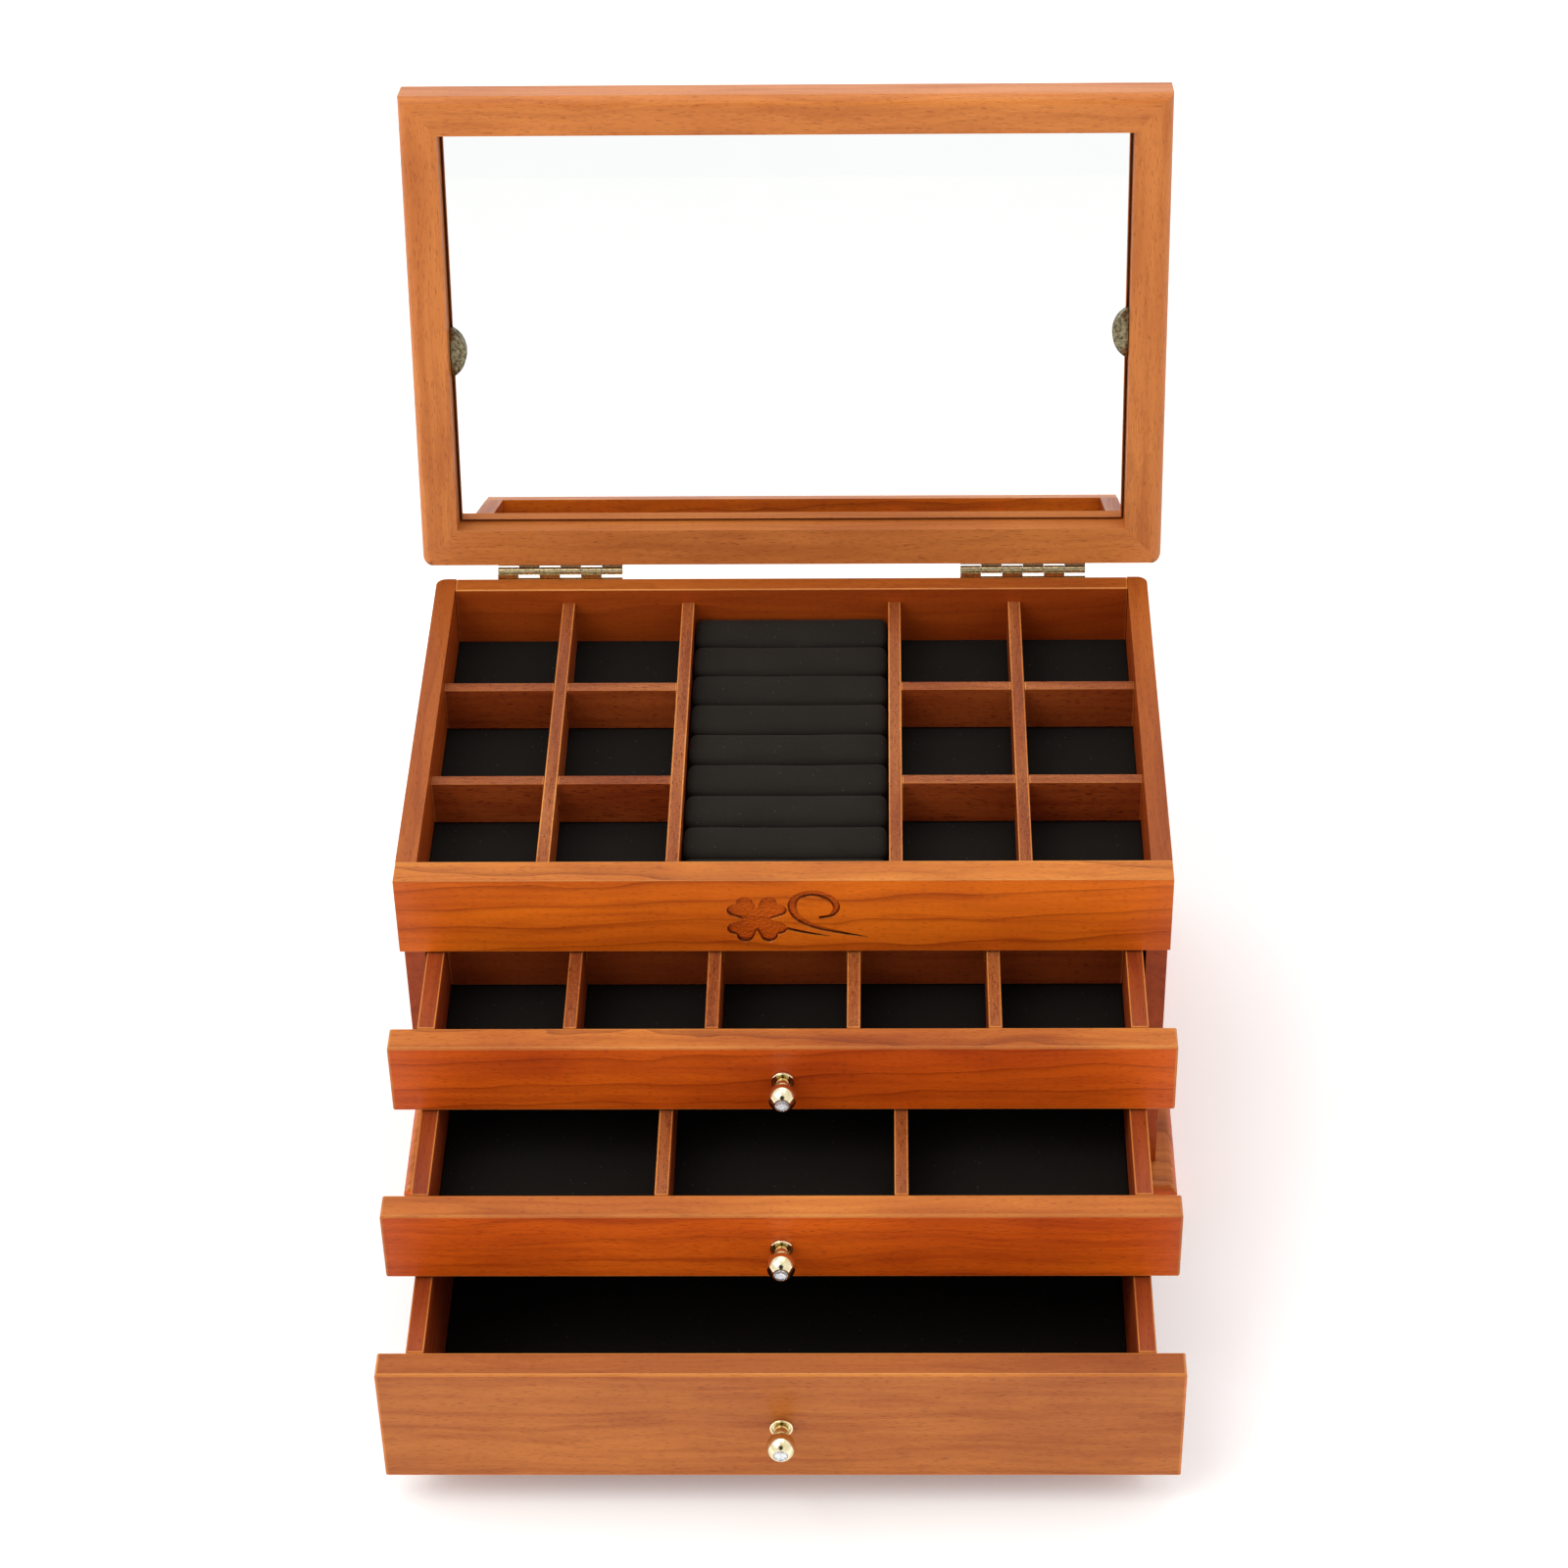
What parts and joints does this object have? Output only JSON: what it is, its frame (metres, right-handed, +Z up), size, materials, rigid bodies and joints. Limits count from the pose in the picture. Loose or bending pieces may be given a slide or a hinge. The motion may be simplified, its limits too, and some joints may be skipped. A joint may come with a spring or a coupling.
{
  "type": "jewellery chest with drawers",
  "caption": "Wooden jewellery chest with a mirrored hinged lid, a divided velvet-lined top tray with a ring cushion, and pull-out drawers on a moulded base.",
  "frame": {"origin": "middle of the case's footprint on the underside of the base", "axes": "+Z up, -Y towards the front, +X to the right seen from the front"},
  "size_m": [0.306, 0.4267, 0.3636],
  "materials": {
    "front_wood": "cherry-stained, gloss lacquered",
    "case_wood": "honey-stained, lacquered",
    "lid_wood": "honey-stained, lacquered",
    "drawer_wood": "stained, satin",
    "divider_wood": "stained, satin, open grain",
    "velvet": "short black velvet",
    "ring_velvet": "short charcoal velvet",
    "antique_brass": "antiqued",
    "polished_brass": "polished",
    "plated_screw": "nickel plated",
    "bronze_clip": "antique bronze, hammered",
    "mirror": "silvered glass",
    "backing_card": "grey backing card",
    "crystal": "cut clear crystal"
  },
  "bodies": {
    "case": {"base_plinth": "front_wood", "left_side": "case_wood", "right_side": "case_wood", "back_panel": "case_wood", "front_rail": "front_wood", "upper_shelf": "case_wood", "lower_shelf": "case_wood", "tray_board": "case_wood", "tray_lining": "velvet", "tray_bay_dividers": "divider_wood", "tray_long_dividers": "divider_wood", "tray_cross_dividers": "divider_wood", "ring_cushion": "ring_velvet", "left_hinge_case_leaf": "antique_brass", "right_hinge_case_leaf": "antique_brass", "hinge_pins": "antique_brass", "case_hinge_screws": "antique_brass"},
    "lid": {"left_hinge_lid_leaf": "antique_brass", "right_hinge_lid_leaf": "antique_brass", "lid_hinge_screws": "antique_brass", "lid_front_rail": "lid_wood", "lid_back_rail": "lid_wood", "lid_left_stile": "lid_wood", "lid_right_stile": "lid_wood", "lid_panel": "lid_wood", "mirror_card": "backing_card", "mirror": "mirror", "left_mirror_clip": "bronze_clip", "right_mirror_clip": "bronze_clip"},
    "top_drawer": {"top_drawer_front": "front_wood", "top_drawer_left_wall": "drawer_wood", "top_drawer_right_wall": "drawer_wood", "top_drawer_back_wall": "drawer_wood", "top_drawer_floor": "drawer_wood", "top_drawer_lining": "velvet", "top_drawer_long_dividers": "divider_wood", "top_drawer_cross_dividers": "divider_wood", "top_drawer_knob": "polished_brass", "top_drawer_crystal": "crystal", "top_drawer_knob_screw": "plated_screw"},
    "middle_drawer": {"middle_drawer_front": "front_wood", "middle_drawer_left_wall": "drawer_wood", "middle_drawer_right_wall": "drawer_wood", "middle_drawer_back_wall": "drawer_wood", "middle_drawer_floor": "drawer_wood", "middle_drawer_lining": "velvet", "middle_drawer_dividers": "divider_wood", "middle_drawer_knob": "polished_brass", "middle_drawer_crystal": "crystal", "middle_drawer_knob_screw": "plated_screw"},
    "bottom_drawer": {"bottom_drawer_front": "front_wood", "bottom_drawer_left_wall": "drawer_wood", "bottom_drawer_right_wall": "drawer_wood", "bottom_drawer_back_wall": "drawer_wood", "bottom_drawer_floor": "drawer_wood", "bottom_drawer_lining": "velvet", "bottom_drawer_knob": "polished_brass", "bottom_drawer_crystal": "crystal", "bottom_drawer_knob_screw": "plated_screw"}
  },
  "joints": [
    {"name": "lid_hinge", "type": "hinge", "parent": "case", "child": "lid", "pos_m": [0, 0.0985, 0.1717], "axis": [-1, 0, 0], "range_deg": [-103.5, 0]},
    {"name": "top_drawer_slide", "type": "slide", "parent": "case", "child": "top_drawer", "axis": [0, -1, 0], "range_m": [-0.052, 0.101]},
    {"name": "middle_drawer_slide", "type": "slide", "parent": "case", "child": "middle_drawer", "axis": [0, -1, 0], "range_m": [-0.106, 0.047]},
    {"name": "bottom_drawer_slide", "type": "slide", "parent": "case", "child": "bottom_drawer", "axis": [0, -1, 0], "range_m": [-0.153, 0]}
  ]
}
